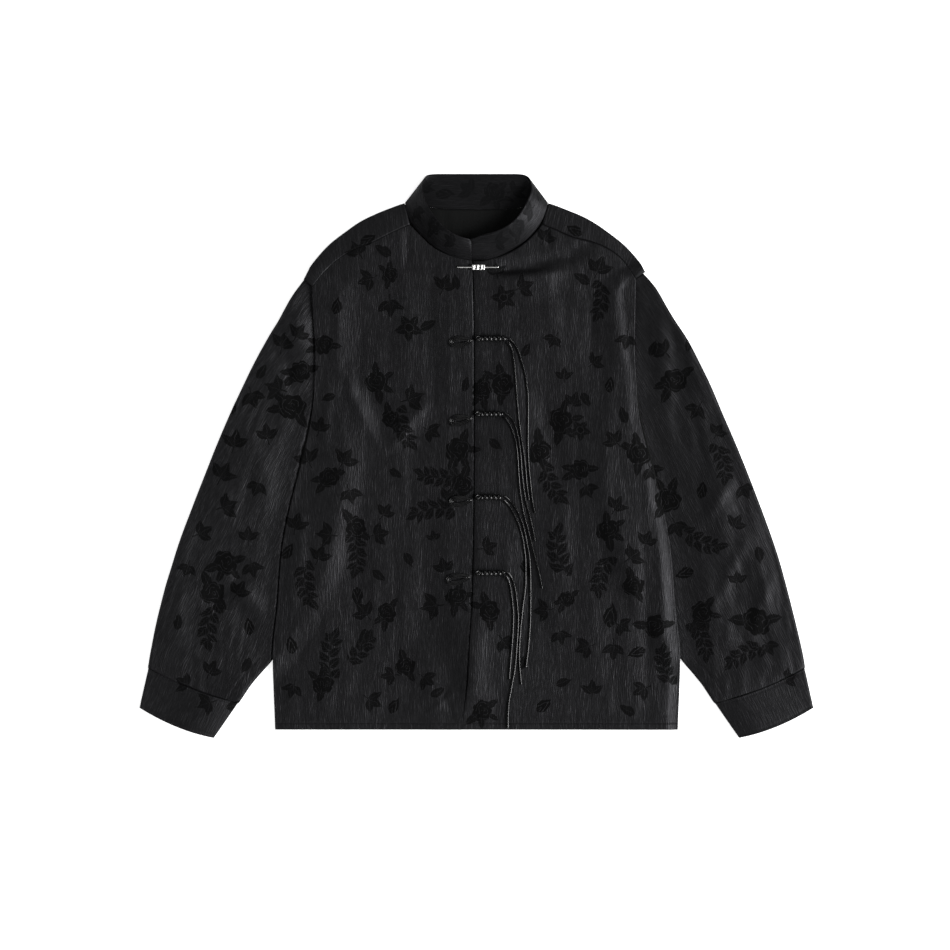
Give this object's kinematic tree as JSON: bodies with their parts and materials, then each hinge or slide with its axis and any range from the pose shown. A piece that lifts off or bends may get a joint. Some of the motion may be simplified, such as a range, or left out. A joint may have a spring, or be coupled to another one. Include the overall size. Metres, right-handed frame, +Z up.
{
  "type": "mandarin collar shirt jacket",
  "caption": "Stand-collar shirt jacket in black floral satin jacquard, laid flat, with corded frog closures, loose cord ends and a bar pin at the neck.",
  "frame": {"origin": "on the floor, at the middle of the garment's outline without its loose cord ends", "axes": "+X to the wearer's left, across the sleeves; +Y from the hem towards the collar; +Z up from the floor, through the back and out of the front"},
  "size_m": [0.8704, 0.7286, 0.0256],
  "materials": {
    "satin_jacquard": "crinkled black satin with matte floral jacquard",
    "waxed_cord": "waxed black cord, slightly glossy",
    "silver": "polished silver-coloured metal"
  },
  "bodies": {
    "root": {"back": "satin_jacquard", "front_right": "satin_jacquard", "front_left": "satin_jacquard", "sleeve_right": "satin_jacquard", "sleeve_left": "satin_jacquard", "cuff_right": "satin_jacquard", "cuff_left": "satin_jacquard", "collar": "satin_jacquard", "frog_loop_1": "waxed_cord", "frog_loop_2": "waxed_cord", "frog_loop_3": "waxed_cord", "frog_loop_4": "waxed_cord", "frog_knot_1": "waxed_cord", "frog_knot_2": "waxed_cord", "frog_knot_3": "waxed_cord", "frog_knot_4": "waxed_cord", "tail_1_inner": "waxed_cord", "tail_1_outer": "waxed_cord", "tail_2_inner": "waxed_cord", "tail_2_outer": "waxed_cord", "tail_3_inner": "waxed_cord", "tail_3_outer": "waxed_cord", "tail_4_inner": "waxed_cord", "tail_4_outer": "waxed_cord", "pin_bar": "silver", "pin_block": "silver"}
  },
  "joints": []
}
